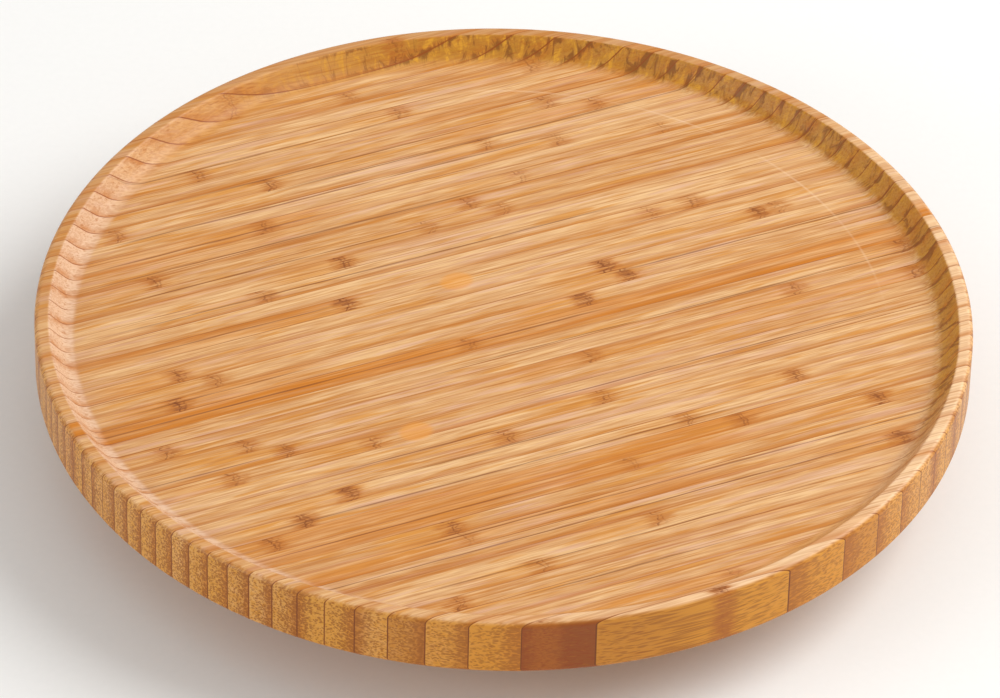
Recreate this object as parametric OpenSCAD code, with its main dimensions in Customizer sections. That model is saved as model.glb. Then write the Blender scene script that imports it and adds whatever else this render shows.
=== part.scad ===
// Lazy susan: a turned bamboo tray on a square ball bearing, with a round bamboo base on rubber feet.
// Millimetres. +Z is up, the feet stand on z = 0 and the tray turns about the Z axis.

/* [Tray] */
// Diameter of the tray
tray_d = 300; // [260:1:400]
// Thickness of the laminated board that the tray is turned from
board_t = 20; // [19:0.5:30]
// Flat width of the rim, between its two rounded edges
rim_flat = 1.8; // [1:0.1:8]
// Depth of the floor below the rim
recess_depth = 7; // [5.5:0.1:7.5]
// Width of the cove between the rim's flat and the floor
cove_w = 8.5; // [8.5:0.1:12]
// Radius of the cutter that made the cove
cove_r = 7; // [5:0.1:7]
// Angle at which the cove meets the floor
cove_lift = 8; // [6:1:15]
// Rounding of the rim's outer edge
rim_round = 2; // [0.5:0.1:3]
// Rounding of the rim's inner edge
lip_round = 1.5; // [0.5:0.1:1.8]
// Rounding of the tray's lower edge
under_round = 1.8; // [0.5:0.1:3]

/* [Base] */
// Diameter of the base disc
base_d = 190; // [180:1:220]
// Thickness of the base disc
base_t = 12; // [12:0.5:18]
// Rounding of the base disc's edges
base_round = 2; // [0.5:0.1:4]
// Diameter of the hole that lets a screwdriver reach the tray's screws
access_d = 19; // [10:0.5:19]

/* [Feet] */
// Number of rubber feet
foot_count = 4; // [3:1:6]
// Distance of each foot from the centre
foot_r = 80; // [74:1:80]
// Height of a foot
foot_h = 5; // [5:0.5:10]
// Diameter of a foot where it stands
foot_d = 15; // [14:0.5:18]
// Diameter of a foot under the base disc
foot_top_d = 17; // [15:0.5:17]

/* [Bearing] */
// Side of the two square bearing plates
plate_w = 102; // [100:1:106]
// Thickness of the pressed steel sheet
sheet_t = 1; // [0.8:0.1:1]
// Height of the whole bearing
bearing_h = 8; // [8:0.1:9]
// Distance between screw holes along a plate's side
hole_pitch = 88.9; // [86:0.1:90]
// Diameter of a bearing ball
ball_d = 4.76; // [4.5:0.01:4.8]
// Number of bearing balls
ball_count = 16; // [8:1:20]
// Radius of the circle that the balls run on
ball_track_r = 38; // [37.5:0.1:38.5]
// Outer radius of the tube that holds the two plates together
tube_r = 28; // [27:0.1:28.5]

/* [Screws] */
// Outer diameter of a screw's thread
screw_d = 3.5; // [3:0.1:4]
// Diameter of a screw's pan head
head_d = 7; // [6:0.1:7.5]
// Height of a screw's pan head
head_h = 2.2; // [1.8:0.1:2.2]

/* [Hidden] */
$fn = 96;
FEET = [for (i = [1:foot_count]) str("rubber_foot_", i)];
BALLS = [for (i = [1:ball_count]) str("bearing_ball_", i)];

bamboo = "#DDA565";
steel = "#B9BEC4";
plating = "#D8DADF";
nylon = "#EDEBE2";
rubber = "#26262A";

over = 1; // how far a cutting shape runs past the face it opens

// heights, from the table up
base_z = foot_h;
bearing_z = base_z + base_t;
tray_z = bearing_z + bearing_h;
rim_z = tray_z + board_t;
floor_z = rim_z - recess_depth;

// outline of the recess: a rounded lip, a straight wall and a cove, each tangent to the next
tray_r = tray_d / 2;
lip_r = tray_r - rim_round - rim_flat;
floor_r = lip_r - cove_w;
lip_c = [lip_r, rim_z - lip_round];
cove_c = [floor_r - cove_r * sin(cove_lift), floor_z + cove_r * cos(cove_lift)];
span = lip_c - cove_c;
wall_a = atan2(span[1], span[0]) - acos((lip_round + cove_r) / norm(span));
wall_n = [cos(wall_a), sin(wall_a)];
wall_low = cove_c + cove_r * wall_n;
wall_high = lip_c - lip_round * wall_n;
wall_top_r = wall_high[0] + (rim_z - wall_high[1]) * tan(-wall_a);

// the bearing, whose two plates are mirror images about the balls' level apart from the tube
ball_z = bearing_z + bearing_h / 2;
ball_gap = 0.07;
groove_r = ball_d / 2 + ball_gap;
shelf_low = 2.4; // from the balls' level to a shelf's far face
shelf_high = shelf_low - sheet_t; // from the balls' level to a shelf's near face
shelf_r = ball_track_r + 4.6;
slope_r = shelf_r + 1.4;
lip_low = shelf_low + 0.3; // the rolled lip clears the plate that it holds by 0.3
lip_top = lip_low + sheet_t;
lip_w = 3;
plate_corners = 4;
corner_a = 45; // direction of the lower plate's first corner
corner_round = 6;
hole_r = hole_pitch / sqrt(2);
cage_t = 1.6;
cage_w = 7;

// screws, whose threads bite in pilot holes that are smaller than they are
pilot_d = screw_d - 0.9;
plate_hole_d = screw_d + 1;
tip_h = 2.5;
tip_d = 0.6;
drive_w = 0.8; // width of the cross slot's arms
drive_l = head_d / 2;
drive_share = 0.6; // share of the head's height that the slot is sunk
screw_grip = 9.5; // how far a plate's screw enters the wood
foot_grip = 8; // how far a foot's screw enters the wood
pilot_spare = 0.8; // how much deeper a pilot hole is than its screw

// the feet, each with its screw head sunk above the table
foot_seat_z = 2.6; // where the screw head bears on the rubber
foot_seat_d = head_d + 1.4;
foot_hole_d = screw_d + 0.3;
foot_head_h = 2;
foot_edge = 1; // rounding of the standing edge

// Copies its children round the Z axis, the first at angle start.
module ring_of(count, start = 0) {
    for (i = [0:count - 1])
        rotate(start + i * 360 / count)
            children();
}

// Half section of a disc with rounded edges, from the axis out to radius r.
module disc_section(r, low, high, round_low, round_high) {
    difference() {
        translate([0, low])
            square([r, high - low]);
        translate([r, low])
            corner_cut(round_low, 1);
        translate([r, high])
            corner_cut(round_high, -1);
    }
}

// What rounding with radius q takes off a corner whose material lies at -X and towards side.
module corner_cut(q, side) {
    difference() {
        translate([-q, side > 0 ? -over : -q])
            square([q + over, q + over]);
        translate([-q, side * q])
            circle(q);
    }
}

// Half section of the air in the tray's recess.
module recess_section() {
    translate([0, floor_z])
        square([floor_r, recess_depth + over]);
    intersection() {
        translate(cove_c)
            circle(cove_r);
        translate([floor_r - over, floor_z])
            square([cove_w, recess_depth]);
    }
    polygon([
        [floor_r - over, floor_z],
        [floor_r, floor_z],
        wall_low,
        [wall_top_r, rim_z],
        [wall_top_r, rim_z + over],
        [floor_r - over, rim_z + over]
    ]);
    difference() {
        polygon([
            wall_high,
            [wall_top_r, rim_z],
            [wall_top_r, rim_z + over],
            [lip_r, rim_z + over],
            lip_c
        ]);
        translate(lip_c)
            circle(lip_round);
    }
}

// A hole for a screw's thread, from depth -over up to depth.
module pilot_hole(depth) {
    translate([0, 0, -over])
        cylinder(d = pilot_d, h = depth + over);
}

// Screw with its seat at z = 0, its head below that and its thread above.
module pan_screw(grip, height) {
    dome_r = head_d;
    difference() {
        intersection() {
            translate([0, 0, -height])
                cylinder(d = head_d, h = height);
            translate([0, 0, dome_r - height])
                sphere(dome_r);
        }
        for (turn = [0, 90])
            rotate(turn)
                translate([-drive_l / 2, -drive_w / 2, -height - over])
                    cube([drive_l, drive_w, over + height * drive_share]);
    }
    cylinder(d = screw_d, h = grip - tip_h);
    translate([0, 0, grip - tip_h])
        cylinder(d1 = screw_d, d2 = tip_d, h = tip_h);
}

// Half section of a bearing plate's pressed middle, measured up from the balls' level.
module race_section(inner_r) {
    difference() {
        union() {
            translate([inner_r, -shelf_low])
                square([shelf_r - inner_r, sheet_t]);
            intersection() {
                translate([ball_track_r, 0])
                    circle(groove_r + sheet_t);
                translate([ball_track_r - 2 * groove_r, -2 * groove_r])
                    square([4 * groove_r, 2 * groove_r - shelf_high]);
            }
            polygon([
                [shelf_r - over, -shelf_low],
                [shelf_r, -shelf_low],
                [slope_r, -bearing_h / 2],
                [slope_r + over, -bearing_h / 2],
                [slope_r + over, sheet_t - bearing_h / 2],
                [slope_r, sheet_t - bearing_h / 2],
                [shelf_r, -shelf_high],
                [shelf_r - over, -shelf_high]
            ]);
        }
        translate([ball_track_r, 0])
            circle(groove_r);
    }
}

// Square flange with rounded corners and four screw holes, around the pressed middle.
module flange() {
    inset = plate_w / 2 - corner_round;
    linear_extrude(sheet_t)
        difference() {
            union() {
                square([plate_w, 2 * inset], center = true);
                square([2 * inset, plate_w], center = true);
                for (x = [-inset, inset], y = [-inset, inset])
                    translate([x, y])
                        circle(corner_round);
            }
            circle(slope_r);
            for (x = [-1, 1], y = [-1, 1])
                translate([x, y] * hole_pitch / 2)
                    circle(d = plate_hole_d);
        }
}

module tray() {
    color(bamboo)
        difference() {
            rotate_extrude($fn = 256)
                difference() {
                    disc_section(tray_r, tray_z, rim_z, under_round, rim_round);
                    recess_section();
                }
            ring_of(plate_corners)
                translate([hole_r, 0, tray_z])
                    pilot_hole(screw_grip + pilot_spare);
        }
}

// The square is turned so that its corners miss the lower plate's, and its screws can be driven.
module upper_bearing_plate() {
    color(steel) {
        translate([0, 0, ball_z])
            mirror([0, 0, 1])
                rotate_extrude()
                    race_section(tube_r + 1);
        translate([0, 0, tray_z - sheet_t])
            rotate(corner_a)
                flange();
    }
}

module tray_screws() {
    color(plating)
        ring_of(plate_corners)
            translate([hole_r, 0, tray_z - sheet_t])
                pan_screw(screw_grip + sheet_t, head_h);
}

module ball_cage() {
    color(nylon)
        translate([0, 0, ball_z - cage_t / 2])
            difference() {
                cylinder(r = ball_track_r + cage_w / 2, h = cage_t);
                translate([0, 0, -over])
                    cylinder(r = ball_track_r - cage_w / 2, h = cage_t + 2 * over);
                ring_of(ball_count)
                    translate([ball_track_r, 0, -over])
                        cylinder(r = groove_r, h = cage_t + 2 * over);
            }
}

module bearing_ball(i) {
    color(plating)
        rotate((i - 1) * 360 / ball_count)
            translate([ball_track_r, 0, ball_z])
                sphere(d = ball_d);
}

// Its tube passes through the upper plate and is rolled over it, which keeps the bearing together.
module lower_bearing_plate() {
    color(steel) {
        translate([0, 0, ball_z])
            rotate_extrude() {
                race_section(tube_r - sheet_t);
                difference() {
                    translate([tube_r - sheet_t, -shelf_low])
                        square([lip_w + sheet_t, shelf_low + lip_top]);
                    translate([tube_r, -shelf_high])
                        square([lip_w + over, lip_low + shelf_high]);
                }
            }
        translate([0, 0, bearing_z])
            flange();
    }
}

module base_disc() {
    color(bamboo)
        difference() {
            rotate_extrude($fn = 192)
                disc_section(base_d / 2, base_z, bearing_z, base_round, base_round);
            translate([hole_r, 0, base_z - over])
                cylinder(d = access_d, h = base_t + 2 * over);
            ring_of(plate_corners, corner_a)
                translate([hole_r, 0, bearing_z])
                    mirror([0, 0, 1])
                        pilot_hole(screw_grip + pilot_spare);
            ring_of(foot_count, corner_a)
                translate([foot_r, 0, base_z])
                    pilot_hole(foot_grip + pilot_spare);
        }
}

module base_screws() {
    color(plating)
        ring_of(plate_corners, corner_a)
            translate([hole_r, 0, bearing_z + sheet_t])
                mirror([0, 0, 1])
                    pan_screw(screw_grip + sheet_t, head_h);
}

module rubber_foot(i) {
    color(rubber)
        rotate(corner_a + (i - 1) * 360 / foot_count)
            translate([foot_r, 0, 0])
                difference() {
                    rotate_extrude()
                        difference() {
                            polygon([[0, 0], [foot_d / 2, 0], [foot_top_d / 2, foot_h], [0, foot_h]]);
                            translate([foot_d / 2, 0])
                                corner_cut(foot_edge, 1);
                        }
                    translate([0, 0, -over])
                        cylinder(d = foot_seat_d, h = foot_seat_z + over);
                    cylinder(d = foot_hole_d, h = foot_h + over);
                }
}

module foot_screws() {
    color(plating)
        ring_of(foot_count, corner_a)
            translate([foot_r, 0, foot_seat_z])
                pan_screw(foot_grip + foot_h - foot_seat_z, foot_head_h);
}

tray();
upper_bearing_plate();
tray_screws();
ball_cage();
lower_bearing_plate();
base_disc();
base_screws();
foot_screws();
for (i = [1:foot_count]) rubber_foot(i);
for (i = [1:ball_count]) bearing_ball(i);
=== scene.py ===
import math
import random

import bmesh
import bpy
from mathutils import Matrix, Vector


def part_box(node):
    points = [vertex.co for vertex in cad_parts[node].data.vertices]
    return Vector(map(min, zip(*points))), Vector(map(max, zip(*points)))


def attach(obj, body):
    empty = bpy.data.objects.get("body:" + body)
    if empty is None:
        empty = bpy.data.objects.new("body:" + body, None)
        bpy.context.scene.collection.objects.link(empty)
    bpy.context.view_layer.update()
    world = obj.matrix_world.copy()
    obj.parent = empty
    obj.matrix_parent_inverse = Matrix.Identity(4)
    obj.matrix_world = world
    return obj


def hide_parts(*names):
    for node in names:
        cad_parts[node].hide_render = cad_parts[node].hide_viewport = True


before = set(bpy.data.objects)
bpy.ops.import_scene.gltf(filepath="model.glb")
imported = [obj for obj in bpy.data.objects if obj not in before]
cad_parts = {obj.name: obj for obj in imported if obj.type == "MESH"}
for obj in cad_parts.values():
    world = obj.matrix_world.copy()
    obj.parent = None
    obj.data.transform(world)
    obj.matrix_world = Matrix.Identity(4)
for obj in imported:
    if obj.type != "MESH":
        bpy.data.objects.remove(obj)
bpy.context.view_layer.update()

mm = 0.001
scene = bpy.context.scene
trayLow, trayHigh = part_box("tray")
baseLow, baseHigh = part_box("base_disc")
print("frame loaded:", len(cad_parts), "nodes")

# Camera

camera = {
    "lens": 253.5,
    "sensor": 36,
    "sightEnd": 50,  # metres
    "tilt": 0.8758,  # radians up from looking straight down
    "turn": 0.025,  # radians about its own line of sight
    "from": (-0.00102, -1.7372, 1.4322),  # metres from the middle of the rim
}

cameraData = bpy.data.cameras.new("camera")
cameraData.lens = camera["lens"]
cameraData.sensor_width = camera["sensor"]
cameraData.clip_end = camera["sightEnd"]
cameraObject = bpy.data.objects.new("camera", cameraData)
scene.collection.objects.link(cameraObject)
cameraObject.matrix_world = (
    Matrix.Translation(Vector(camera["from"]) + Vector((0, 0, trayHigh.z)))
    @ Matrix.Rotation(camera["tilt"], 4, "X")
    @ Matrix.Rotation(camera["turn"], 4, "Z")
)
scene.camera = cameraObject
print("camera made")

# Nodes and materials


def linear(hexColour):
    # sRGB hex to the linear colour that a socket takes
    parts = [int(hexColour[i : i + 2], 16) / 255 for i in (1, 3, 5)]
    return [p / 12.92 if p <= 0.04045 else ((p + 0.055) / 1.055) ** 2.4 for p in parts] + [1]


def add(tree, kind, inputs=None, out=0, **settings):
    # adds a node, sets it, fills or links its inputs, and gives back one of its outputs
    node = tree.nodes.new("ShaderNode" + kind)
    for name, value in settings.items():
        setattr(node, name, value)
    for name, value in (inputs or {}).items():
        if isinstance(value, bpy.types.NodeSocket):
            tree.links.new(value, node.inputs[name])
        else:
            node.inputs[name].default_value = value
    return None if out is None else node.outputs[out]


def newMaterial(name):
    material = bpy.data.materials.new(name)
    material.use_nodes = True
    material.node_tree.nodes.clear()
    return material, material.node_tree


def layColours(tree, ground, layers):
    # lays each (mask, colour) over the last, as stains are
    for mask, colour in layers:
        ground = add(tree, "Mix", {0: mask, 6: ground, 7: linear(colour)}, out=2, data_type="RGBA")
    return ground


# Bamboo: strips of culm wall stood on edge and glued side by side, sanded and lacquered satin.
# Along a strip the eye sees straight fibres, gold and pinkish blotches and brown knuckles. Cut
# across, each strip is a block of dots, which crowd and darken towards the outside of the culm.

trayGrain = {
    "direction": 24.2,  # degrees from +X to the strips' length
    "pitch": 6.64,  # width of a strip
    "firstJoint": -7,  # a glue joint, across from the centre
    "seed": 5,
    "pale": "#EBBF88",
    "tan": "#BE7628",
    "dense": "#C4741C",  # fibres near the outside of the culm
    "streak": "#B0640F",
    "bundle": "#A85E1C",
    "wallBundle": "#8A4A0A",
    "wall": "#D2922E",  # the turned outer edge, where the lacquer soaks in
    "wallFace": "#DA9024",
    "coveHighlight": "#E4BE9E",  # painted highlight: end grain in the cove at the strips' first end, on the side that faces the key light
    "coveShade": "#BE8218",  # painted shade: the cove at their far end, which faces away from the key light
    # painted shade: the rim's top darker towards its back
    "rim": "#B87A3A",
    # painted highlight on the rim's front and right
    "rimHighlight": "#F8D4A8",
    # painted shade: warm orange on the cove's face-grain sides, which stand in shade
    "coveOrangeShade": "#D49446",
    # dark torn strokes in the far cove, darkened with painted shade
    "scorchAndShade": "#7E4A12",
    # painted highlight: gold patches in the torn far cove
    "goldHighlight": "#E2A42C",
    "glue": "#964A06",
    "wallGlue": "#743808",
    "amber": "#CC7810",
    "rust": "#8C3A06",
    "knuckle": "#B4661A",
    "knuckleDark": "#8A522C",
    "halo": "#D68C2C",  # gold beside a knuckle
    "blush": "#DDAE90",  # pinkish fibres
    "honey": "#D28A30",
    "knuckleLine": "#7C3C06",
    "spot": "#E8962F",
    # painted highlight: a faint pale ring on the floor
    "ring": "#F3CFA8",
    # sizes in mm; a pair is across and along the strips
    "fibres": [(0.45, 10, 0.65), (0.9, 32, 0.55), (2.6, 80, 0.38)],  # across, along, share
    "wander": (9, 60, 1.6),  # across, along, and how far the fibres stray
    "blotch": (2.4, 42),
    "streakSize": (0.8, 90),
    "bundleGap": 0.66,
    "bundleRun": 16,
    "glueWidth": 0.26,
    "glueFade": (2, 60),  # strips and mm over which a joint comes and goes
    "denseBand": 0.5,  # share of a strip's width
    "wallFrom": 148.7,  # radius past which the outer edge begins
    "wallBlend": 1.4,
    "coveBand": (136.6, 145.2),  # radii where the cove's colour begins and ends
    "tornSize": (3.2, 8),  # the cutter's strokes in the cove: around it, and up it
    "rimHighlightTowards": (0.66, -0.75),  # where the rim's painted highlight is strongest, along and across
    "ringAt": (123.6, 0.35),  # a faint pale ring on the floor, a painted highlight: radius, half width
    "knuckleReach": 6.5,
    "haloReach": 22,
    "knuckleRag": (1.8, 4),
    "spotRadii": (4.6, 6),
    "gloss": (0.36, 0.5),  # roughness, least and most
    "grainDepth": 0.08,
    # knuckles: (along, across, darkness)
    "knuckles": [
        (-40, 137, 0.5), (22, 140, 0.7), (0, 127, 0.5), (63, 120, 0.5), (12, 115, 0.6),
        (-62, 110, 0.7), (60, 102, 0.6), (-42, 98, 0.8), (75, 95, 0.6), (-98, 92, 0.7),
        (32, 90, 0.6), (55, 82, 0.6), (-52, 79, 0.7), (90, 76, 0.5), (36, 71, 0.5),
        (15, 65, 0.6), (24, 59, 0.6), (-95, 62, 0.8), (-2, 54, 0.5), (-35, 48, 0.9),
        (-65, 41, 0.7), (83, 39, 0.6), (68, 33, 0.5), (-42, 28, 1.0), (108, 26, 0.6),
        (101, 21, 0.8), (-105, 18, 0.8), (43, 16, 1.0), (48, 9, 0.9), (-95, 10, 0.7),
        (-110, 4, 1.0), (30, 2, 1.1), (-122, -15, 0.7), (95, -17, 0.7), (20, -23, 0.6),
        (-98, -22, 0.7), (-87, -27, 0.8), (135, -24, 0.7), (-60, -34, 0.7), (-107, -40, 0.7),
        (16, -42, 0.7), (-20, -49, 0.8), (-76, -54, 0.9), (77, -56, 0.8), (36, -61, 0.7),
        (-94, -61, 0.9), (52, -68, 0.8), (-107, -67, 0.8), (11, -75, 0.5), (97, -80, 0.9),
        (-53, -85, 0.9), (95, -95, 0.9), (8, -104, 0.7), (-65, -118, 0.8), (9, -147, 1.0),
    ],
    # orange runs: (across, amount, from, to along)
    "ambers": [
        (-3, 1.0, -170, 170), (3, 0.75, -130, -55), (-70, 0.75, -125, 75), (-77, 0.7, -125, 60),
        (-92, 0.6, -120, 40), (-24, 0.35, -20, 170), (109, 0.5, 0, 170), (95, 0.4, 10, 170),
        (79, 0.6, -125, -20), (32, 0.45, -140, -40), (72, 0.45, -120, -40), (15, 0.25, -150, -60),
        (-137, 0.3, -150, 150),
    ],
    # dark single fibres: (across, from, to along)
    "darkFibres": [
        (-3.5, -150, 40), (-76, -120, -15), (-46, -80, -10), (-31, -150, -85), (112, -95, 10),
        (99, -70, 20), (92, -40, 120), (85, -105, 60), (75, -115, -30), (67, -120, 30),
        (56.5, -115, 0), (43, -120, 60), (30, -115, -40), (4, -130, -60), (-96, -115, 120),
        (-88, -80, 120), (-108, -75, 40), (-64, -115, 60), (-54, -60, 10), (-121, -45, 30),
        (12, 40, 150), (-13, -20, 160), (-38, -10, 120),
    ],
    # reddish heartier strips: (across, amount, from, to along)
    "rusts": [(-143, 0.95, -170, -10), (-137, 0.2, 10, 170), (-149, 0.22, -60, 2), (-124, 0.25, -120, -30)],
    # spots of filler: (along, across)
    "spots": [(-5, 27), (-46, -37)],
}
nowhere = 9999  # a place along a strip that is past its end


def strip(grain, across):
    return math.floor((across - grain["firstJoint"]) / grain["pitch"])


def stripFacts(grain, index, radius):
    # what is particular to one strip: knuckles, a run of orange, a dark fibre, tone
    draw = random.Random(grain["seed"] * 1000 + index)
    low = grain["firstJoint"] + index * grain["pitch"]
    tone = draw.uniform(0.2, 0.5)
    dense = float(draw.random() < 0.2)
    found = [(k[0], k[2]) for k in grain["knuckles"] if strip(grain, k[1]) == index]
    if not found:
        found = [(draw.uniform(-1, 1) * radius, draw.uniform(0.4, 0.8))]
    found = (found + [(nowhere, 0)] * 3)[:3]
    amber = [a[1:] for a in grain["ambers"] if strip(grain, a[0]) == index]
    fibre = [
        ((f[0] - low) / grain["pitch"], f[1], f[2])
        for f in grain["darkFibres"] if strip(grain, f[0]) == index
    ]
    rust = [r[1:] for r in grain["rusts"] if strip(grain, r[0]) == index]
    return {
        "stripCast": (tone, dense, draw.random()),
        "knuckleAt": [k[0] for k in found],
        "knuckleInk": [k[1] for k in found],
        "amberRun": amber[0] if amber else (0, 0, 1),
        "rustRun": rust[0] if rust else (0, 0, 1),
        "darkFibre": fibre[0] if fibre else (-nowhere, 0, 1),
    }


def markStrips(mesh, grain, radius):
    # cuts the mesh at every glue joint, so that each face belongs to one strip and carries its facts
    turn = math.radians(grain["direction"])
    across = Vector((-math.sin(turn), math.cos(turn), 0))
    first, last = strip(grain, -radius), strip(grain, radius)
    for index in range(first, last + 1):
        joint = (grain["firstJoint"] + index * grain["pitch"]) * mm
        if abs(joint) < radius * mm:
            bmesh.ops.bisect_plane(
                mesh, geom=mesh.verts[:] + mesh.edges[:] + mesh.faces[:],
                dist=1e-7, plane_co=across * joint, plane_no=across,
            )
    facts = {i: stripFacts(grain, i, radius) for i in range(first - 1, last + 2)}
    layers = {name: mesh.faces.layers.float_vector.new(name) for name in facts[first]}
    for face in mesh.faces:
        index = strip(grain, face.calc_center_median().dot(across) / mm)
        for name, layer in layers.items():
            face[layer] = facts[index][name]


def laminatedBamboo(name, grain):
    material, tree = newMaterial(name)
    # place along the strips, across them and up, in mm
    where = add(tree, "TexCoord", out="Object")
    where = add(tree, "Mapping", {
        "Vector": where, "Scale": (1000, 1000, 1000),
        "Rotation": (0, 0, -math.radians(grain["direction"])),
    })
    place = add(tree, "SeparateXYZ", {0: where}).node.outputs
    along, across, up = place[0], place[1], place[2]
    # which strip, and how far across it from its dense side
    strips = add(tree, "Math", {0: across, 1: -grain["firstJoint"]}, operation="ADD")
    strips = add(tree, "Math", {0: strips, 1: grain["pitch"]}, operation="DIVIDE")
    index = add(tree, "Math", {0: strips}, operation="FLOOR")
    part = add(tree, "Math", {0: strips}, operation="FRACT")
    cast = add(tree, "Attribute", out="Vector", attribute_name="stripCast")
    cast = add(tree, "SeparateXYZ", {0: cast}).node.outputs
    fromDense = add(tree, "Math", {0: part, 1: cast[1]}, operation="SUBTRACT")
    fromDense = add(tree, "Math", {0: fromDense}, operation="ABSOLUTE")
    toJoint = add(tree, "Math", {0: part, 1: 0.5}, operation="SUBTRACT")
    toJoint = add(tree, "Math", {0: toJoint}, operation="ABSOLUTE")
    toJoint = add(tree, "Math", {
        0: toJoint, 1: -grain["pitch"], 2: grain["pitch"] / 2,
    }, operation="MULTIPLY_ADD")
    # each strip is from another place in the culm
    shift = add(tree, "Math", {0: index, 1: grain["seed"] * 7.3}, operation="ADD")
    shift = add(tree, "TexWhiteNoise", {"W": shift}, out="Color", noise_dimensions="1D")
    culm = add(tree, "VectorMath", {0: shift, 1: (900, 60, 60), 2: where}, operation="MULTIPLY_ADD")
    # fibres wander a little
    width, length, stray = grain["wander"]
    wander = add(tree, "VectorMath", {
        0: culm, 1: (1 / length, 1 / width, 1 / width),
    }, operation="MULTIPLY")
    wander = add(tree, "TexNoise", {"Vector": wander, "Scale": 1, "Detail": 2}, out="Color")
    culm = add(tree, "VectorMath", {0: wander, 1: (0, stray, stray), 2: culm}, operation="MULTIPLY_ADD")

    tone = cast[0]
    grainNoise = []
    for width, length, share in grain["fibres"]:
        vector = add(tree, "VectorMath", {
            0: culm, 1: (1 / length, 1 / width, 1 / width),
        }, operation="MULTIPLY")
        noise = add(tree, "TexNoise", {"Vector": vector, "Scale": 1, "Detail": 2.5, "Roughness": 0.55})
        grainNoise.append(noise)
        noise = add(tree, "Math", {0: noise, 1: 0.5}, operation="SUBTRACT")
        tone = add(tree, "Math", {0: noise, 1: share * 2, 2: tone}, operation="MULTIPLY_ADD")
    fine, medium, broad = grainNoise

    # where the surface is cut across, steep, on the outer edge, or in the cove
    facing = add(tree, "TexCoord", out="Normal")
    turn = math.radians(grain["direction"])
    cutAcross = add(tree, "VectorMath", {
        0: facing, 1: (math.cos(turn), math.sin(turn), 0),
    }, out="Value", operation="DOT_PRODUCT")
    cutAcross = add(tree, "Math", {0: cutAcross}, operation="ABSOLUTE")
    cutAcross = add(tree, "MapRange", {
        "Value": cutAcross, "From Min": 0.3, "From Max": 0.85,
    }, interpolation_type="SMOOTHSTEP")
    facingUp = add(tree, "SeparateXYZ", {0: facing}, out=2)
    upright = add(tree, "Math", {0: facingUp}, operation="ABSOLUTE")
    steep = add(tree, "MapRange", {
        "Value": upright, "From Min": 0.99, "From Max": 0.8,
    }, interpolation_type="SMOOTHSTEP")
    reach = add(tree, "VectorMath", {0: where, 1: (1, 1, 0)}, operation="MULTIPLY")
    reach = add(tree, "VectorMath", {0: reach}, out="Value", operation="LENGTH")
    edge = add(tree, "MapRange", {
        "Value": reach, "From Min": grain["wallFrom"], "From Max": grain["wallFrom"] + grain["wallBlend"],
    }, interpolation_type="SMOOTHSTEP")
    coveFrom, coveTo = grain["coveBand"]
    cove = add(tree, "MapRange", {
        "Value": reach, "From Min": coveFrom, "From Max": coveFrom + 2,
    }, interpolation_type="SMOOTHSTEP")
    aboveCove = add(tree, "MapRange", {
        "Value": reach, "From Min": coveTo, "From Max": coveTo + 0.8,
    }, interpolation_type="SMOOTHSTEP")
    cove = add(tree, "Math", {0: cove, 1: aboveCove}, operation="SUBTRACT", use_clamp=True)
    shown = add(tree, "Math", {0: facingUp, 1: 0}, operation="GREATER_THAN")
    cove = add(tree, "Math", {0: cove, 1: shown}, operation="MULTIPLY")
    # where the rim meets the strips' ends
    endOn = add(tree, "VectorMath", {0: where}, operation="NORMALIZE")
    endOn = add(tree, "VectorMath", {
        0: endOn, 1: (1, 0, 0),
    }, out="Value", operation="DOT_PRODUCT")
    endOn = add(tree, "Math", {0: endOn}, operation="ABSOLUTE")
    endOn = add(tree, "MapRange", {
        "Value": endOn, "From Min": 0.3, "From Max": 0.8,
    }, interpolation_type="SMOOTHSTEP")

    # vascular bundles: crooked dots where they are cut across, hair lines along
    vector = add(tree, "VectorMath", {0: where, 1: (0.02, 0.9, 0.9)}, operation="MULTIPLY")
    crooked = add(tree, "TexNoise", {"Vector": vector, "Scale": 1, "Detail": 1}, out="Color")
    crooked = add(tree, "VectorMath", {0: crooked, 1: (0, 1.3, 1.3), 2: culm}, operation="MULTIPLY_ADD")
    vector = add(tree, "VectorMath", {
        0: crooked, 1: (1 / grain["bundleRun"], 1 / grain["bundleGap"], 1 / grain["bundleGap"]),
    }, operation="MULTIPLY")
    bundle = add(tree, "TexVoronoi", {"Vector": vector, "Scale": 1, "Randomness": 0.9}, feature="F1")
    bundleSize = add(tree, "MapRange", {"Value": fromDense, "To Min": 0.85, "To Max": 0.55})
    bundleEdge = add(tree, "Math", {0: bundleSize, 1: 0.42}, operation="SUBTRACT")
    bundle = add(tree, "MapRange", {
        "Value": bundle, "From Min": bundleSize, "From Max": bundleEdge,
    }, interpolation_type="SMOOTHSTEP")
    wallBundle = add(tree, "Math", {0: bundle, 1: edge}, operation="MULTIPLY")
    wallBundleShare = add(tree, "MapRange", {"Value": cutAcross, "To Min": 0.4, "To Max": 0.72})
    wallBundle = add(tree, "Math", {0: wallBundle, 1: wallBundleShare}, operation="MULTIPLY")
    bundle = add(tree, "Math", {0: bundle, 1: 0.28}, operation="MULTIPLY")

    denseBand = add(tree, "MapRange", {
        "Value": fromDense, "From Min": grain["denseBand"], "From Max": 0,
    }, interpolation_type="SMOOTHSTEP")
    denseShare = add(tree, "MapRange", {
        "Value": broad, "From Min": 0.36, "From Max": 0.64, "To Min": 0.05, "To Max": 0.75,
    })
    wallShare = add(tree, "Math", {0: edge, 1: 0.7}, operation="MULTIPLY")
    denseShare = add(tree, "Math", {0: denseShare, 1: wallShare}, operation="MAXIMUM")
    denseBand = add(tree, "Math", {0: denseBand, 1: denseShare}, operation="MULTIPLY")
    wallDense = add(tree, "Math", {0: denseBand, 1: edge}, operation="MULTIPLY")
    wallDenseShare = add(tree, "MapRange", {
        "Value": cast[2], "From Min": 0.2, "To Min": 0.02, "To Max": 0.42,
    })
    wallDense = add(tree, "Math", {0: wallDense, 1: wallDenseShare}, operation="MULTIPLY")

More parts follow.
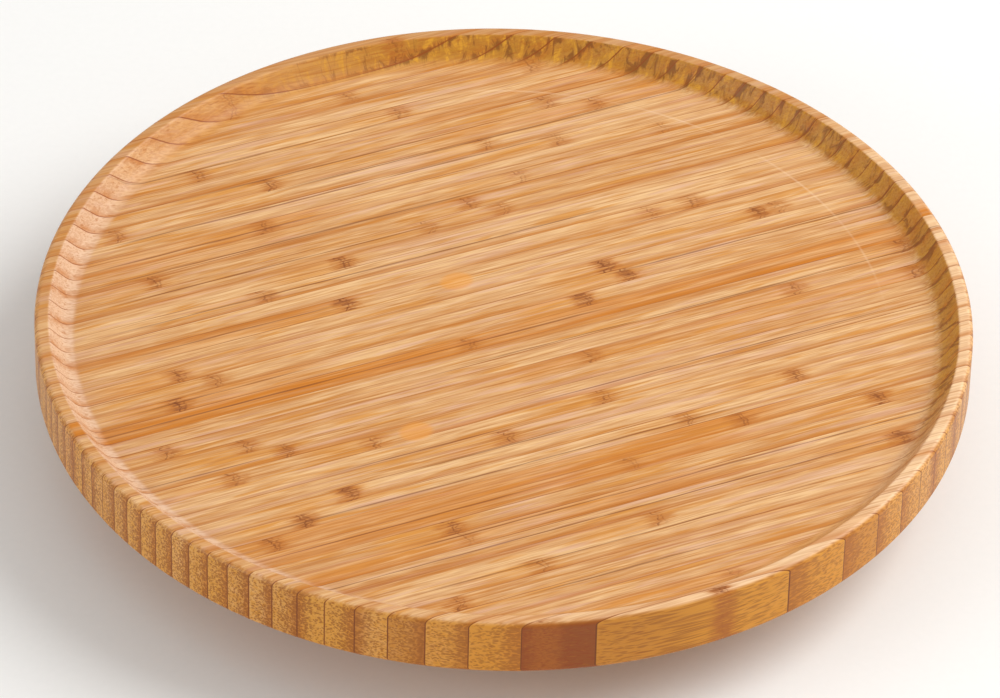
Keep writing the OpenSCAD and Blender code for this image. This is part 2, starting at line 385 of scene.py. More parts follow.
    # pinkish and honey-coloured blotches, drawn out along the fibres
    width, length = grain["blotch"]
    vector = add(tree, "VectorMath", {
        0: culm, 1: (1 / length, 1 / width, 1 / width),
    }, operation="MULTIPLY")
    blotch = add(tree, "TexNoise", {
        "Vector": vector, "Scale": 1, "Detail": 3, "Roughness": 0.6, "Distortion": 0.4,
    })
    blush = add(tree, "MapRange", {
        "Value": blotch, "From Min": 0.47, "From Max": 0.34, "To Max": 0.6,
    }, interpolation_type="SMOOTHSTEP")
    honey = add(tree, "MapRange", {
        "Value": blotch, "From Min": 0.53, "From Max": 0.66, "To Max": 0.75,
    }, interpolation_type="SMOOTHSTEP")

    # long dark streaks
    width, length = grain["streakSize"]
    vector = add(tree, "VectorMath", {
        0: culm, 1: (1 / length, 1 / width, 1 / width),
    }, operation="MULTIPLY")
    streak = add(tree, "TexNoise", {"Vector": vector, "Scale": 1, "Detail": 1.5})
    streak = add(tree, "MapRange", {
        "Value": streak, "From Min": 0.55, "From Max": 0.76, "To Max": 0.6,
    }, interpolation_type="SMOOTHSTEP")

    # glue joints, strong in some places and lost in others
    vector = add(tree, "CombineXYZ", {"X": along, "Y": strips})
    width, length = grain["glueFade"]
    vector = add(tree, "VectorMath", {0: vector, 1: (1 / length, 1 / width, 1)}, operation="MULTIPLY")
    glueShare = add(tree, "TexNoise", {"Vector": vector, "Scale": 1, "Detail": 1})
    glueShare = add(tree, "MapRange", {
        "Value": glueShare, "From Min": 0.4, "From Max": 0.62, "To Min": 0.08, "To Max": 0.8,
    })
    glueShare = add(tree, "Math", {
        0: steep, 1: 0.8, 2: glueShare,
    }, operation="MULTIPLY_ADD", use_clamp=True)
    # a joint that meets the outer edge at a slant would look too wide
    slant = add(tree, "Math", {0: cutAcross, 1: -1, 2: 1}, operation="MULTIPLY_ADD")
    slant = add(tree, "Math", {0: slant, 1: edge}, operation="MULTIPLY")
    glueEdge = add(tree, "MapRange", {
        "Value": slant, "To Min": grain["glueWidth"], "To Max": grain["glueWidth"] * 0.3,
    })
    glue = add(tree, "MapRange", {
        "Value": toJoint, "From Min": glueEdge, "From Max": 0.02,
    }, interpolation_type="SMOOTHSTEP")
    glue = add(tree, "Math", {0: glue, 1: glueShare}, operation="MULTIPLY")
    wallGlue = add(tree, "Math", {0: glue, 1: edge}, operation="MULTIPLY")

    # what some strips have over part of their length
    runs = {}
    for layer in ("amberRun", "rustRun", "darkFibre"):
        run = add(tree, "Attribute", out="Vector", attribute_name=layer)
        run = add(tree, "SeparateXYZ", {0: run}).node.outputs
        begun = add(tree, "Math", {0: along, 1: run[1]}, operation="SUBTRACT")
        left = add(tree, "Math", {0: run[2], 1: along}, operation="SUBTRACT")
        inside = add(tree, "Math", {0: begun, 1: left}, operation="MINIMUM")
        inside = add(tree, "MapRange", {
            "Value": inside, "From Min": -8, "From Max": 22,
        }, interpolation_type="SMOOTHSTEP")
        runs[layer] = (run[0], inside)
    amber = add(tree, "Math", {0: runs["amberRun"][0], 1: runs["amberRun"][1]}, operation="MULTIPLY")
    amberShare = add(tree, "MapRange", {
        "Value": broad, "From Min": 0.3, "From Max": 0.62, "To Min": 0.35, "To Max": 0.95,
    })
    amber = add(tree, "Math", {0: amber, 1: amberShare}, operation="MULTIPLY")
    amberCove = add(tree, "Math", {0: steep, 1: -0.7, 2: 1}, operation="MULTIPLY_ADD")
    amber = add(tree, "Math", {0: amber, 1: amberCove}, operation="MULTIPLY")
    rust = add(tree, "Math", {0: runs["rustRun"][0], 1: runs["rustRun"][1]}, operation="MULTIPLY")
    rust = add(tree, "Math", {0: rust, 1: edge}, operation="MULTIPLY")
    fibre = add(tree, "Math", {0: part, 1: runs["darkFibre"][0]}, operation="SUBTRACT")
    fibre = add(tree, "Math", {0: fibre}, operation="ABSOLUTE")
    fibreEdge = add(tree, "MapRange", {
        "Value": medium, "From Min": 0.3, "From Max": 0.7, "To Min": 0.02, "To Max": 0.13,
    })
    fibre = add(tree, "MapRange", {
        "Value": fibre, "From Min": fibreEdge, "From Max": 0.0,
    }, interpolation_type="SMOOTHSTEP")
    fibre = add(tree, "Math", {0: fibre, 1: runs["darkFibre"][1]}, operation="MULTIPLY")
    fibre = add(tree, "Math", {0: fibre, 1: 0.7}, operation="MULTIPLY")

    # knuckles: a ragged brown patch in a gold one, with a thin line or two bowed across the strip
    bow = add(tree, "Math", {0: part, 1: 0.45}, operation="SUBTRACT")
    bow = add(tree, "Math", {0: bow, 1: bow}, operation="MULTIPLY")
    width, length = grain["knuckleRag"]
    vector = add(tree, "VectorMath", {
        0: where, 1: (1 / length, 1 / width, 1 / width),
    }, operation="MULTIPLY")
    ragged = add(tree, "TexNoise", {"Vector": vector, "Scale": 1, "Detail": 2})
    bow = add(tree, "Math", {0: bow, 1: 6}, operation="MULTIPLY")
    bow = add(tree, "Math", {0: ragged, 1: 6, 2: bow}, operation="MULTIPLY_ADD")
    bow = add(tree, "Math", {0: bow, 1: 3}, operation="SUBTRACT")
    places = add(tree, "Attribute", out="Vector", attribute_name="knuckleAt")
    places = add(tree, "SeparateXYZ", {0: places}).node.outputs
    inks = add(tree, "Attribute", out="Vector", attribute_name="knuckleInk")
    inks = add(tree, "SeparateXYZ", {0: inks}).node.outputs
    patches, lines, halos = 0.0, 0.0, 0.0
    for place, ink in zip(places, inks):
        off = add(tree, "Math", {0: along, 1: place}, operation="SUBTRACT")
        off = add(tree, "Math", {0: off, 1: bow}, operation="ADD")
        far = add(tree, "Math", {0: off}, operation="ABSOLUTE")
        patch = add(tree, "MapRange", {
            "Value": far, "From Min": grain["knuckleReach"], "From Max": 1,
        }, interpolation_type="SMOOTHSTEP")
        patch = add(tree, "Math", {0: patch, 1: ink}, operation="MULTIPLY")
        line = add(tree, "MapRange", {
            "Value": far, "From Min": 0.6, "From Max": 0.1,
        }, interpolation_type="SMOOTHSTEP")
        second = add(tree, "Math", {0: off, 1: 1.7}, operation="SUBTRACT")
        second = add(tree, "Math", {0: second}, operation="ABSOLUTE")
        second = add(tree, "MapRange", {
            "Value": second, "From Min": 0.5, "From Max": 0.1, "To Max": 0.6,
        }, interpolation_type="SMOOTHSTEP")
        line = add(tree, "Math", {0: line, 1: second}, operation="MAXIMUM")
        line = add(tree, "Math", {0: line, 1: ink}, operation="MULTIPLY")
        halo = add(tree, "Math", {0: off, 1: 9}, operation="ADD")
        halo = add(tree, "Math", {0: halo}, operation="ABSOLUTE")
        halo = add(tree, "MapRange", {
            "Value": halo, "From Min": grain["haloReach"], "From Max": 7,
        }, interpolation_type="SMOOTHSTEP")
        halo = add(tree, "Math", {0: halo, 1: ink}, operation="MULTIPLY")
        halos = add(tree, "Math", {0: halos, 1: halo}, operation="MAXIMUM")
        patches = add(tree, "Math", {0: patches, 1: patch}, operation="MAXIMUM")
        lines = add(tree, "Math", {0: lines, 1: line}, operation="MAXIMUM")
    patchShare = add(tree, "MapRange", {
        "Value": fine, "From Min": 0.38, "From Max": 0.56, "To Min": 0.3, "To Max": 1.1,
    })
    patches = add(tree, "Math", {0: patches, 1: patchShare}, operation="MULTIPLY", use_clamp=True)
    haloShare = add(tree, "MapRange", {
        "Value": medium, "From Min": 0.36, "From Max": 0.56, "To Min": 0.1, "To Max": 0.6,
    })
    halos = add(tree, "Math", {0: halos, 1: haloShare}, operation="MULTIPLY", use_clamp=True)
    patchDark = add(tree, "MapRange", {
        "Value": patches, "From Min": 0.75, "From Max": 1.0, "To Max": 0.6,
    })
    lineShare = add(tree, "MapRange", {
        "Value": ragged, "From Min": 0.42, "From Max": 0.58, "To Min": 0.25, "To Max": 0.85,
    })
    lines = add(tree, "Math", {0: lines, 1: lineShare}, operation="MULTIPLY", use_clamp=True)
    lineWall = add(tree, "Math", {0: edge, 1: -0.85, 2: 1}, operation="MULTIPLY_ADD")
    lines = add(tree, "Math", {0: lines, 1: lineWall}, operation="MULTIPLY")
    patchDark = add(tree, "Math", {0: patchDark, 1: lineWall}, operation="MULTIPLY")

    # the cutter tore the far cove in short upright strokes, most where it crossed a joint. This cove faces
    # away from the key light: its dark strokes are torn grain darkened with painted shade, and its gold
    # patches are painted highlights
    aroundRim = add(tree, "Math", {0: across, 1: along}, operation="ARCTAN2")
    aroundRim = add(tree, "Math", {0: aroundRim, 1: grain["wallFrom"]}, operation="MULTIPLY")
    vector = add(tree, "CombineXYZ", {"X": aroundRim, "Y": up, "Z": reach})
    width, length = grain["tornSize"]
    vector = add(tree, "VectorMath", {
        0: vector, 1: (1 / width, 1 / length, 1 / length),
    }, operation="MULTIPLY")
    torn = add(tree, "TexNoise", {
        "Vector": vector, "Scale": 1, "Detail": 4, "Roughness": 0.6, "Distortion": 0.9,
    })
    nearJoint = add(tree, "MapRange", {
        "Value": toJoint, "From Min": 1.6, "From Max": 0, "To Max": 0.14,
    })
    tornDark = add(tree, "Math", {0: torn, 1: nearJoint}, operation="ADD")
    farEnd = add(tree, "MapRange", {
        "Value": along, "From Min": -60, "From Max": 40,
    }, interpolation_type="SMOOTHSTEP")
    farSide = add(tree, "MapRange", {
        "Value": across, "From Min": -125, "From Max": -75,
    }, interpolation_type="SMOOTHSTEP")
    farEnd = add(tree, "Math", {0: farEnd, 1: farSide}, operation="MULTIPLY")
    shadedFarCove = add(tree, "MapRange", {"Value": steep, "To Min": 0.15, "To Max": 1.0})
    shadedFarCove = add(tree, "Math", {0: shadedFarCove, 1: cove}, operation="MULTIPLY")
    shadedFarCove = add(tree, "Math", {0: shadedFarCove, 1: farEnd}, operation="MULTIPLY")
    scorchAndShade = add(tree, "MapRange", {
        "Value": tornDark, "From Min": 0.53, "From Max": 0.68, "To Max": 0.8,
    }, interpolation_type="SMOOTHSTEP")
    scorchAndShade = add(tree, "Math", {0: scorchAndShade, 1: shadedFarCove}, operation="MULTIPLY")
    goldHighlight = add(tree, "MapRange", {
        "Value": torn, "From Min": 0.47, "From Max": 0.36, "To Max": 0.75,
    }, interpolation_type="SMOOTHSTEP")
    goldSide = add(tree, "MapRange", {
        "Value": across, "From Min": -20, "From Max": 120, "To Min": 0.25, "To Max": 1.0,
    })
    goldHighlight = add(tree, "Math", {0: goldHighlight, 1: goldSide}, operation="MULTIPLY")
    goldHighlight = add(tree, "Math", {0: goldHighlight, 1: shadedFarCove}, operation="MULTIPLY")
    sideOn = add(tree, "Math", {0: 1, 1: cutAcross}, operation="SUBTRACT")

    # colours, each laid over the last
    ground = add(tree, "Mix", {
        0: tone, 6: linear(grain["pale"]), 7: linear(grain["tan"]),
    }, out=2, data_type="RGBA")
    # painted highlight on the near cove's end grain, which faces the key light
    coveHighlight = add(tree, "Math", {0: cove, 1: endOn}, operation="MULTIPLY")
    nearEnd = add(tree, "MapRange", {"Value": farEnd, "To Min": 0.8, "To Max": 0.0})
    coveHighlight = add(tree, "Math", {0: coveHighlight, 1: nearEnd}, operation="MULTIPLY")
    # painted shade on the far cove, which faces away from the key light
    coveShade = add(tree, "Math", {0: shadedFarCove, 1: 0.85}, operation="MULTIPLY")
    # painted shade: warm orange on the cove's face-grain sides
    coveOrangeShade = add(tree, "Math", {0: 1, 1: endOn}, operation="SUBTRACT")
    coveOrangeShade = add(tree, "Math", {0: coveOrangeShade, 1: cove}, operation="MULTIPLY")
    coveOrangeShade = add(tree, "Math", {0: coveOrangeShade, 1: 0.7}, operation="MULTIPLY")
    wall = add(tree, "MapRange", {"Value": cast[2], "To Min": 0.9, "To Max": 0.6})
    wall = add(tree, "Math", {0: wall, 1: edge}, operation="MULTIPLY")
    wallFace = add(tree, "Math", {0: edge, 1: sideOn}, operation="MULTIPLY")
    wallFace = add(tree, "Math", {0: wallFace, 1: 0.8}, operation="MULTIPLY")
    # painted highlight: a faint pale ring on the floor, drawn only on the side towards the key light
    ring = add(tree, "Math", {0: reach, 1: grain["ringAt"][0]}, operation="SUBTRACT")
    ring = add(tree, "Math", {0: ring}, operation="ABSOLUTE")
    ring = add(tree, "MapRange", {
        "Value": ring, "From Min": grain["ringAt"][1] * 2, "From Max": 0,
    }, interpolation_type="SMOOTHSTEP")
    vector = add(tree, "VectorMath", {0: where, 1: (1 / 40, 1 / 40, 0)}, operation="MULTIPLY")
    ringShare = add(tree, "TexNoise", {"Vector": vector, "Scale": 1, "Detail": 2})
    ringShare = add(tree, "MapRange", {
        "Value": ringShare, "From Min": 0.36, "From Max": 0.6, "To Max": 0.42,
    })
    ring = add(tree, "Math", {0: ring, 1: ringShare}, operation="MULTIPLY")
    ringSide = add(tree, "MapRange", {
        "Value": across, "From Min": -45, "From Max": 20,
    }, interpolation_type="SMOOTHSTEP")
    ring = add(tree, "Math", {0: ring, 1: ringSide}, operation="MULTIPLY")
    ring = add(tree, "Math", {0: ring, 1: farEnd}, operation="MULTIPLY")
    ring = add(tree, "Math", {0: ring, 1: facingUp}, operation="MULTIPLY", use_clamp=True)
    # painted shade on the rim's top towards its back, and painted highlight towards its front and right
    rim = add(tree, "Math", {0: aboveCove, 1: shown}, operation="MULTIPLY")
    rimSide = add(tree, "MapRange", {
        "Value": across, "From Min": -30, "From Max": 110, "To Max": 0.5,
    }, interpolation_type="SMOOTHSTEP")
    rim = add(tree, "Math", {0: rim, 1: rimSide}, operation="MULTIPLY")
    towards = [share / grain["wallFrom"] for share in grain["rimHighlightTowards"]] + [0]
    rimHighlight = add(tree, "VectorMath", {0: where, 1: towards}, out="Value", operation="DOT_PRODUCT")
    rimHighlight = add(tree, "MapRange", {
        "Value": rimHighlight, "From Min": 0.1, "From Max": 0.8, "To Max": 0.65,
    }, interpolation_type="SMOOTHSTEP")
    rimHighlight = add(tree, "Math", {0: rimHighlight, 1: aboveCove}, operation="MULTIPLY")
    rimHighlight = add(tree, "Math", {0: rimHighlight, 1: shown}, operation="MULTIPLY")
    layers = [
        (blush, grain["blush"]),
        (honey, grain["honey"]),
        (halos, grain["halo"]),
        (coveHighlight, grain["coveHighlight"]),
        (coveOrangeShade, grain["coveOrangeShade"]),
        (coveShade, grain["coveShade"]),
        (rim, grain["rim"]),
        (rimHighlight, grain["rimHighlight"]),
        (wall, grain["wall"]),
        (wallFace, grain["wallFace"]),
        (denseBand, grain["dense"]),
        (wallDense, grain["wallBundle"]),
        (goldHighlight, grain["goldHighlight"]),
        (amber, grain["amber"]),
        (rust, grain["rust"]),
        (streak, grain["streak"]),
        (scorchAndShade, grain["scorchAndShade"]),
        (bundle, grain["bundle"]),
        (wallBundle, grain["wallBundle"]),
        (patches, grain["knuckle"]),
        (patchDark, grain["knuckleDark"]),
        (fibre, grain["knuckleLine"]),
        (lines, grain["knuckleLine"]),
        (glue, grain["glue"]),
        (wallGlue, grain["wallGlue"]),
        (ring, grain["ring"]),
    ]
    flat = add(tree, "Math", {0: 1, 1: steep}, operation="SUBTRACT")
    width, length = grain["spotRadii"]
    for spotAlong, spotAcross in grain["spots"]:
        off = add(tree, "VectorMath", {0: where, 1: (spotAlong, spotAcross, 0)}, operation="SUBTRACT")
        off = add(tree, "VectorMath", {0: off, 1: (1 / length, 1 / width, 0)}, operation="MULTIPLY")
        off = add(tree, "VectorMath", {0: off}, out="Value", operation="LENGTH")
        spot = add(tree, "MapRange", {
            "Value": off, "From Min": 1.1, "From Max": 0.7, "To Max": 0.5,
        }, interpolation_type="SMOOTHSTEP")
        spot = add(tree, "Math", {0: spot, 1: flat}, operation="MULTIPLY")
        spot = add(tree, "Math", {0: spot, 1: facingUp}, operation="MULTIPLY", use_clamp=True)
        layers.append((spot, grain["spot"]))
    colour = layColours(tree, ground, layers)

    height = add(tree, "Math", {0: fine, 1: 0.5}, operation="MULTIPLY")
    height = add(tree, "Math", {0: bundle, 1: -0.6, 2: height}, operation="MULTIPLY_ADD")
    height = add(tree, "Math", {0: scorchAndShade, 1: -1.5, 2: height}, operation="MULTIPLY_ADD")
    height = add(tree, "Math", {0: glue, 1: -0.25, 2: height}, operation="MULTIPLY_ADD")
    bump = add(tree, "Bump", {"Height": height, "Strength": 0.5, "Distance": grain["grainDepth"] * mm})
    least, most = grain["gloss"]
    rough = add(tree, "MapRange", {
        "Value": medium, "From Min": 0.3, "From Max": 0.7, "To Min": least, "To Max": most,
    })
    shader = add(tree, "BsdfPrincipled", {
        "Base Color": colour, "Roughness": rough, "Normal": bump,
        "Specular IOR Level": 0.3, "Coat Weight": 0.08, "Coat Roughness": 0.25,
    })
    add(tree, "OutputMaterial", {"Surface": shader}, out=None)
    return material


# Turned shapes

shadeStep = 0.12  # a narrow face at the edge of a flat one keeps the flat one's shading flat


def arc(middle, radius, start, end, steps):
    # points of an arc in a half section, in mm and degrees
    points = []
    for i in range(steps + 1):
        a = math.radians(start + (end - start) * i / steps)
        points.append((middle[0] + radius * math.cos(a), middle[1] + radius * math.sin(a)))
    return points


def turned(outline, segments):
    # spins a half section, given in mm from the lower cap's rim to the upper cap's rim
    mesh = bmesh.new()
    rings = []
    for r, z in outline:
        rings.append([
            mesh.verts.new((
                r * mm * math.cos(2 * math.pi * i / segments),
                r * mm * math.sin(2 * math.pi * i / segments),
                z * mm,
            ))
            for i in range(segments)
        ])
    for low, high in zip(rings, rings[1:]):
        for i in range(segments):
            j = (i + 1) % segments
            mesh.faces.new((low[i], low[j], high[j], high[i]))
    mesh.faces.new(rings[0][::-1])
    mesh.faces.new(rings[-1])
    return mesh


def placePiece(name, mesh, material, body):
    data = bpy.data.meshes.new(name)
    mesh.normal_update()
    mesh.to_mesh(data)
    mesh.free()
    for face in data.polygons:
        face.use_smooth = True
    data.set_sharp_from_angle(angle=math.radians(40))
    piece = bpy.data.objects.new(name, data)
    scene.collection.objects.link(piece)
    data.materials.append(material)
    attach(piece, body)
    return piece


# Tray

tray = {
    "rimRound": 2,
    "rimFlat": 1.8,
    "lipRound": 1.5,
    "coveWidth": 8.5,
    "coveRadius": 7,
    "coveLift": 8,  # degrees at which the cove leaves the floor
    "floorDepth": 7,
    "underRound": 1.8,
    "segments": 720,
}


def trayOutline():
    radius, top, bottom = trayHigh.x / mm, trayHigh.z / mm, trayLow.z / mm
    lift = math.radians(tray["coveLift"])
    lipRadius = radius - tray["rimRound"] - tray["rimFlat"]
    floorRadius = lipRadius - tray["coveWidth"]
    floorLevel = top - tray["floorDepth"]
    lip = Vector((lipRadius, top - tray["lipRound"]))
    cove = Vector((
        floorRadius - tray["coveRadius"] * math.sin(lift),
        floorLevel + tray["coveRadius"] * math.cos(lift),
    ))
    # the straight wall touches both the lip's rounding and the cove
    reach = lip - cove
    wall = math.degrees(
        math.atan2(reach.y, reach.x)
        - math.acos((tray["lipRound"] + tray["coveRadius"]) / reach.length)
    )
    return (
        [(radius - tray["underRound"] - shadeStep, bottom)]
        + arc((radius - tray["underRound"], bottom + tray["underRound"]), tray["underRound"], -90, 0, 8)
        + [(radius, bottom + tray["underRound"] + shadeStep), (radius, top - tray["rimRound"] - shadeStep)]
        + arc((radius - tray["rimRound"], top - tray["rimRound"]), tray["rimRound"], 0, 90, 10)
        + arc(lip, tray["lipRound"], 90, wall + 180, 8)
        + arc(cove, tray["coveRadius"], wall, tray["coveLift"] - 90, 14)
        + [(floorRadius - shadeStep, floorLevel)]
    )


trayMesh = turned(trayOutline(), tray["segments"])
markStrips(trayMesh, trayGrain, trayHigh.x / mm)
trayPiece = placePiece(
    "trayTurned", trayMesh, laminatedBamboo("bamboo laminated sanded satin lacquer", trayGrain),
    "turntable",
)
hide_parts("tray")
print("tray made:", len(trayPiece.data.polygons), "faces")

# Base disc

base = {
    "rounding": 2,
    "accessHole": 19,  # lets a screwdriver reach the tray's screws
    "screwHead": 7,
    "segments": 480,
}
baseGrain = dict(
    trayGrain, direction=114, firstJoint=-3.1, seed=11, wallFrom=93.7, coveBand=(900, 901), ringAt=(900, 1),
    knuckles=[], ambers=[(-20, 0.5, -60, 90), (37, 0.4, -90, 10)], darkFibres=[], rusts=[], spots=[],
)


def drilled(mesh, centre, diameter):
    # drills through a turned disc, and gives the mesh back
    disc = bpy.data.meshes.new("disc")
    mesh.to_mesh(disc)
    mesh.free()
    drill = bmesh.new()
    bmesh.ops.create_cone(
        drill, cap_ends=True, segments=96, radius1=diameter / 2, radius2=diameter / 2,
        depth=1, matrix=Matrix.Translation(centre),
    )
    bit = bpy.data.meshes.new("bit")
    drill.to_mesh(bit)
    drill.free()
    discObject = bpy.data.objects.new("disc", disc)
    bitObject = bpy.data.objects.new("bit", bit)
    scene.collection.objects.link(discObject)
    scene.collection.objects.link(bitObject)
    cut = discObject.modifiers.new("drill", "BOOLEAN")
    cut.operation = "DIFFERENCE"
    cut.object = bitObject
    result = bmesh.new()
    result.from_object(discObject, bpy.context.evaluated_depsgraph_get())
    bpy.data.objects.remove(discObject)
    bpy.data.objects.remove(bitObject)
    return result


def baseOutline():
    radius, top, bottom, rounding = baseHigh.x / mm, baseHigh.z / mm, baseLow.z / mm, base["rounding"]
    return (
        [(radius - rounding - shadeStep, bottom)]
        + arc((radius - rounding, bottom + rounding), rounding, -90, 0, 8)
        + [(radius, bottom + rounding + shadeStep), (radius, top - rounding - shadeStep)]
        + arc((radius - rounding, top - rounding), rounding, 0, 90, 8)
        + [(radius - rounding - shadeStep, top)]
    )


accessAt = Vector((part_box("tray_screws")[1].x - base["screwHead"] / 2 * mm, 0, 0))
baseMesh = drilled(turned(baseOutline(), base["segments"]), accessAt, base["accessHole"] * mm)
markStrips(baseMesh, baseGrain, baseHigh.x / mm)
basePiece = placePiece(
    "baseTurned", baseMesh, laminatedBamboo("bamboo laminated sanded oiled", baseGrain), "base"
)
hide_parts("base_disc")
print("base made:", len(basePiece.data.polygons), "faces")

# Bearing, screws and feet

bearing = {
    # darker and paler colour of each
    "sheet": ("#A7ADB3", "#C9CED3"),
    "spangle": 4.5,  # mm across a zinc crystal
    "screw": ("#C9CDD4", "#DAD8CC"),
    "ball": ("#B9BCC0", "#CACDD0"),
    "nylon": ("#E4E0D2", "#F1EEE4"),
    "rubber": ("#1F1F22", "#3A3937"),
}


def galvanisedSheet():
    # Hot-dip galvanised steel, pressed: grey crystals that each catch the light a little differently
    material, tree = newMaterial("steel hot-dip galvanised pressed")
    where = add(tree, "TexCoord", out="Object")
    crystal = add(tree, "TexVoronoi", {
        "Vector": where, "Scale": 1 / (bearing["spangle"] * mm),
    }, out="Color")
    crystal = add(tree, "SeparateXYZ", {0: crystal})
    haze = add(tree, "TexNoise", {"Vector": where, "Scale": 1 / (20 * mm), "Detail": 5})
    shine = add(tree, "Math", {0: crystal, 1: 0.6, 2: haze}, operation="MULTIPLY_ADD")
    shine = add(tree, "MapRange", {"Value": shine, "From Min": 0.3, "From Max": 1.1})
    dull, bright = bearing["sheet"]
    colour = add(tree, "Mix", {0: shine, 6: linear(dull), 7: linear(bright)}, out=2, data_type="RGBA")
    rough = add(tree, "MapRange", {"Value": shine, "To Min": 0.5, "To Max": 0.3})
    drawn = add(tree, "TexNoise", {"Vector": where, "Scale": 1 / (0.5 * mm), "Detail": 3})
    bump = add(tree, "Bump", {"Height": drawn, "Strength": 0.25, "Distance": 0.02 * mm})
    shader = add(tree, "BsdfPrincipled", {
        "Base Color": colour, "Roughness": rough, "Normal": bump, "Metallic": 1,
    })
    add(tree, "OutputMaterial", {"Surface": shader}, out=None)
    return material


def platedScrew():
    # Zinc-plated screws, blue passivated: bright, with a faint straw and blue cast and handling scuffs
    material, tree = newMaterial("steel zinc plated blue passivated")
    where = add(tree, "TexCoord", out="Object")
    cast = add(tree, "TexNoise", {"Vector": where, "Scale": 1 / (3 * mm), "Detail": 3})
    cool, straw = bearing["screw"]
    colour = add(tree, "Mix", {0: cast, 6: linear(cool), 7: linear(straw)}, out=2, data_type="RGBA")
    scuff = add(tree, "TexNoise", {"Vector": where, "Scale": 1 / (0.4 * mm), "Detail": 4})
    rough = add(tree, "MapRange", {
        "Value": scuff, "From Min": 0.3, "From Max": 0.7, "To Min": 0.18, "To Max": 0.36,
    })
    bump = add(tree, "Bump", {"Height": scuff, "Strength": 0.15, "Distance": 0.02 * mm})
    shader = add(tree, "BsdfPrincipled", {
        "Base Color": colour, "Roughness": rough, "Normal": bump, "Metallic": 1,
    })
    add(tree, "OutputMaterial", {"Surface": shader}, out=None)
    return material


def lappedBall():
    # Bearing steel, lapped: almost a mirror under a thin smear of grease
    material, tree = newMaterial("steel bearing lapped greased")
    where = add(tree, "TexCoord", out="Object")
    smear = add(tree, "TexNoise", {"Vector": where, "Scale": 1 / (2 * mm), "Detail": 3})
    dull, bright = bearing["ball"]
    colour = add(tree, "Mix", {0: smear, 6: linear(dull), 7: linear(bright)}, out=2, data_type="RGBA")
    rough = add(tree, "MapRange", {
        "Value": smear, "From Min": 0.35, "From Max": 0.65, "To Min": 0.06, "To Max": 0.16,
    })
    shader = add(tree, "BsdfPrincipled", {"Base Color": colour, "Roughness": rough, "Metallic": 1})
    add(tree, "OutputMaterial", {"Surface": shader}, out=None)
    return material


def mouldedNylon():
    # Natural nylon, injection moulded: milky, with a faint flow mottle and a satin skin
    material, tree = newMaterial("nylon natural moulded")
    where = add(tree, "TexCoord", out="Object")
    flow = add(tree, "TexNoise", {"Vector": where, "Scale": 1 / (8 * mm), "Detail": 3})
    shaded, milky = bearing["nylon"]
    colour = add(tree, "Mix", {0: flow, 6: linear(shaded), 7: linear(milky)}, out=2, data_type="RGBA")
    skin = add(tree, "TexNoise", {"Vector": where, "Scale": 1 / (0.3 * mm), "Detail": 2})
    rough = add(tree, "MapRange", {"Value": skin, "To Min": 0.36, "To Max": 0.5})
    bump = add(tree, "Bump", {"Height": skin, "Strength": 0.2, "Distance": 0.02 * mm})
    shader = add(tree, "BsdfPrincipled", {
        "Base Color": colour, "Roughness": rough, "Normal": bump, "IOR": 1.53,
        "Subsurface Weight": 0.15, "Subsurface Scale": 1.0 * mm,
    })
    add(tree, "OutputMaterial", {"Surface": shader}, out=None)
    return material


def mouldedRubber():
    # Black rubber, compression moulded: matt with a fine spark-eroded grain and dust in its pores
    material, tree = newMaterial("rubber black moulded")
    where = add(tree, "TexCoord", out="Object")
    grit = add(tree, "TexVoronoi", {"Vector": where, "Scale": 1 / (0.35 * mm)})
    dust = add(tree, "TexNoise", {"Vector": where, "Scale": 1 / (4 * mm), "Detail": 4})
    dust = add(tree, "MapRange", {"Value": dust, "From Min": 0.4, "From Max": 0.75})
    clean, dusty = bearing["rubber"]
    colour = add(tree, "Mix", {0: dust, 6: linear(clean), 7: linear(dusty)}, out=2, data_type="RGBA")
    rough = add(tree, "MapRange", {"Value": dust, "To Min": 0.6, "To Max": 0.8})
    bump = add(tree, "Bump", {"Height": grit, "Strength": 0.4, "Distance": 0.05 * mm})
    shader = add(tree, "BsdfPrincipled", {
        "Base Color": colour, "Roughness": rough, "Normal": bump, "IOR": 1.52,
    })
    add(tree, "OutputMaterial", {"Surface": shader}, out=None)
    return material


finishes = {
    "bearing_plate": galvanisedSheet(),
    "screws": platedScrew(),
    "bearing_ball": lappedBall(),
    "ball_cage": mouldedNylon(),
    "rubber_foot": mouldedRubber(),
}
for nodeName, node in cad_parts.items():
    for part, finish in finishes.items():
        if part in nodeName:
            for materialSlot in node.material_slots:
                materialSlot.material = finish
print("bearing, screws and feet finished")

# Floor and light

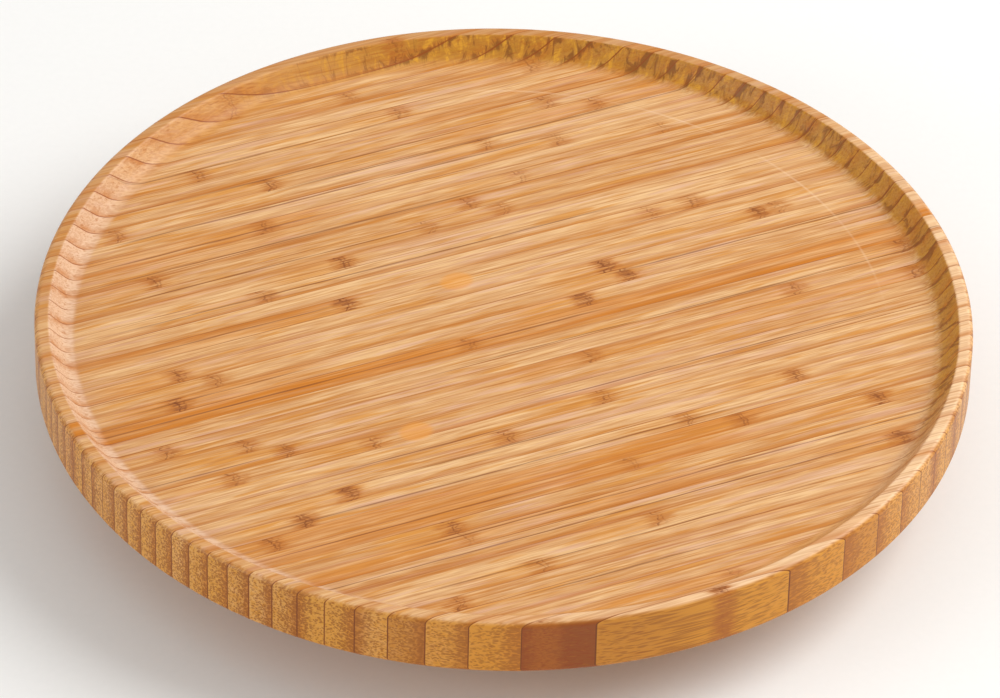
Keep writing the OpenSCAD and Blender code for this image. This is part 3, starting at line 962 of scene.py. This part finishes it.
studio = {
    "floor": "#F3F2EF",
    "floorSize": 14,
    "world": 0.6,
    # direction is degrees round from +X, and degrees up
    "lamps": {
        "keySoftbox": {"direction": (12, 44), "distance": 2.2, "size": 1.8, "power": 39},
        "fillSoftbox": {"direction": (208, 20), "distance": 2.2, "size": 1.2, "power": 11},
    },
}

# Card floor, matt and slightly soft
cardMaterial, tree = newMaterial("card matt paper")
speck = add(tree, "TexCoord", out="Object")
speck = add(tree, "TexNoise", {"Vector": speck, "Scale": 400, "Detail": 2})
speck = add(tree, "MapRange", {"Value": speck, "To Min": 0.97, "To Max": 1.0})
cardColour = add(tree, "Mix", {
    0: 1, 6: linear(studio["floor"]), 7: speck,
}, out=2, data_type="RGBA", blend_type="MULTIPLY")
cardShader = add(tree, "BsdfPrincipled", {"Base Color": cardColour, "Roughness": 0.9})
add(tree, "OutputMaterial", {"Surface": cardShader}, out=None)

floorMesh = bmesh.new()
bmesh.ops.create_grid(floorMesh, x_segments=8, y_segments=8, size=studio["floorSize"] / 2)
floorData = bpy.data.meshes.new("studioFloor")
floorMesh.to_mesh(floorData)
floorMesh.free()
studioFloor = bpy.data.objects.new("studioFloor", floorData)
scene.collection.objects.link(studioFloor)
floorData.materials.append(cardMaterial)

world = bpy.data.worlds.new("studio")
scene.world = world
world.use_nodes = True
world.node_tree.nodes["Background"].inputs["Color"].default_value = (1, 1, 1, 1)
world.node_tree.nodes["Background"].inputs["Strength"].default_value = studio["world"]

for name, lamp in studio["lamps"].items():
    data = bpy.data.lights.new(name, "AREA")
    data.shape = "DISK"
    data.size = lamp["size"]
    data.energy = lamp["power"]
    light = bpy.data.objects.new(name, data)
    scene.collection.objects.link(light)
    turn, lift = [math.radians(a) for a in lamp["direction"]]
    light.location = Vector((
        math.cos(turn) * math.cos(lift), math.sin(turn) * math.cos(lift), math.sin(lift),
    )) * lamp["distance"]
    light.rotation_euler = (-light.location).to_track_quat("-Z", "Y").to_euler()
scene.view_settings.view_transform = "Standard"
print("studio made")
